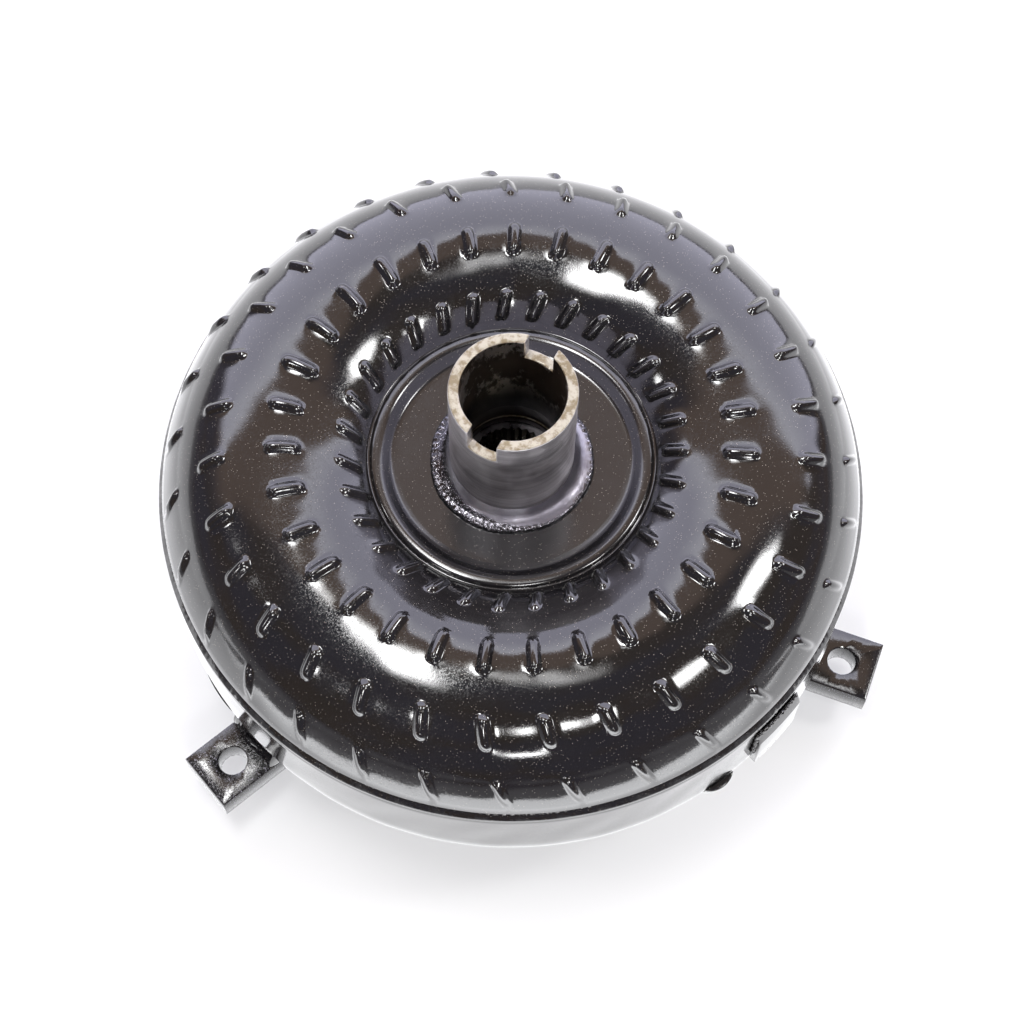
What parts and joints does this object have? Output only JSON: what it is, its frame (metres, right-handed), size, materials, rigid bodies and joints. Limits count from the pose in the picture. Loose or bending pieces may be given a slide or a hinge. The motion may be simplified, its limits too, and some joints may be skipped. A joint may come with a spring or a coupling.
{
  "type": "torque converter",
  "caption": "Torque converter: domed, dimpled black steel casing with slotted pump hub and drive lugs; turbine, vanes and one-way stator turn inside.",
  "frame": {"origin": "centre of the crank pilot's end face, on the rotation axis", "axes": "+Z along the rotation axis from the engine side to the gearbox side; the pump hub's drive slots open along +Y and -Y"},
  "size_m": [0.2983, 0.2928, 0.1741],
  "materials": {
    "gloss_black_paint": "gloss black enamel over pressed steel, with dust and overspray",
    "turned_steel": "lathe-turned steel with fine grain round the axis",
    "sheet_steel": "pressed and brazed sheet steel, oily",
    "race_steel": "ground hardened steel",
    "cast_alloy": "as-cast aluminium with turned faces",
    "bronze": "plain bronze"
  },
  "bodies": {
    "casing": {"front_cover": "gloss_black_paint", "crank_pilot": "gloss_black_paint", "drive_lug_1": "gloss_black_paint", "drive_lug_2": "gloss_black_paint", "drive_lug_3": "gloss_black_paint", "balance_weight_1": "gloss_black_paint", "balance_weight_2": "gloss_black_paint", "balance_weight_3": "gloss_black_paint", "impeller_shell": "gloss_black_paint", "impeller_hub": "turned_steel", "impeller_vanes": "sheet_steel", "front_thrust_washer": "bronze", "rear_bearing_hub_race": "race_steel"},
    "turbine": {"turbine_shell": "sheet_steel", "turbine_vanes": "sheet_steel", "turbine_hub": "turned_steel", "turbine_rivet_1": "race_steel", "turbine_rivet_2": "race_steel", "turbine_rivet_3": "race_steel", "turbine_rivet_4": "race_steel", "turbine_rivet_5": "race_steel", "turbine_rivet_6": "race_steel", "front_bearing_turbine_race": "race_steel"},
    "stator": {"stator_casting": "cast_alloy", "clutch_cam_race": "race_steel", "clutch_roller_1": "race_steel", "clutch_roller_2": "race_steel", "clutch_roller_3": "race_steel", "clutch_roller_4": "race_steel", "clutch_roller_5": "race_steel", "clutch_roller_6": "race_steel", "clutch_roller_7": "race_steel", "clutch_roller_8": "race_steel", "clutch_spring_1": "race_steel", "clutch_spring_2": "race_steel", "clutch_spring_3": "race_steel", "clutch_spring_4": "race_steel", "clutch_spring_5": "race_steel", "clutch_spring_6": "race_steel", "clutch_spring_7": "race_steel", "clutch_spring_8": "race_steel", "stator_front_plate": "bronze", "stator_snap_ring": "race_steel", "front_bearing_stator_race": "race_steel", "rear_bearing_stator_race": "race_steel"},
    "inner_race": {"clutch_inner_race": "race_steel"},
    "front_cage": {"front_bearing_cage": "bronze"},
    "rear_cage": {"rear_bearing_cage": "bronze"}
  },
  "joints": [
    {"name": "turbine_spin", "type": "hinge", "parent": "casing", "child": "turbine", "pos_m": [0, 0, 0.06], "axis": [0, 0, 1], "continuous": true},
    {"name": "stator_spin", "type": "hinge", "parent": "casing", "child": "stator", "pos_m": [0, 0, 0.086], "axis": [0, 0, 1], "continuous": true},
    {"name": "inner_race_spin", "type": "hinge", "parent": "stator", "child": "inner_race", "pos_m": [0, 0, 0.09], "axis": [0, 0, 1], "continuous": true},
    {"name": "front_cage_spin", "type": "hinge", "parent": "stator", "child": "front_cage", "pos_m": [0, 0, 0.0696], "axis": [0, 0, 1], "continuous": true},
    {"name": "rear_cage_spin", "type": "hinge", "parent": "casing", "child": "rear_cage", "pos_m": [0, 0, 0.1044], "axis": [0, 0, 1], "continuous": true}
  ],
  "couplings": [
    {"joint": "front_cage_spin", "follows": "turbine_spin", "ratio": 0.5},
    {"joint": "rear_cage_spin", "follows": "stator_spin", "ratio": 0.5}
  ]
}
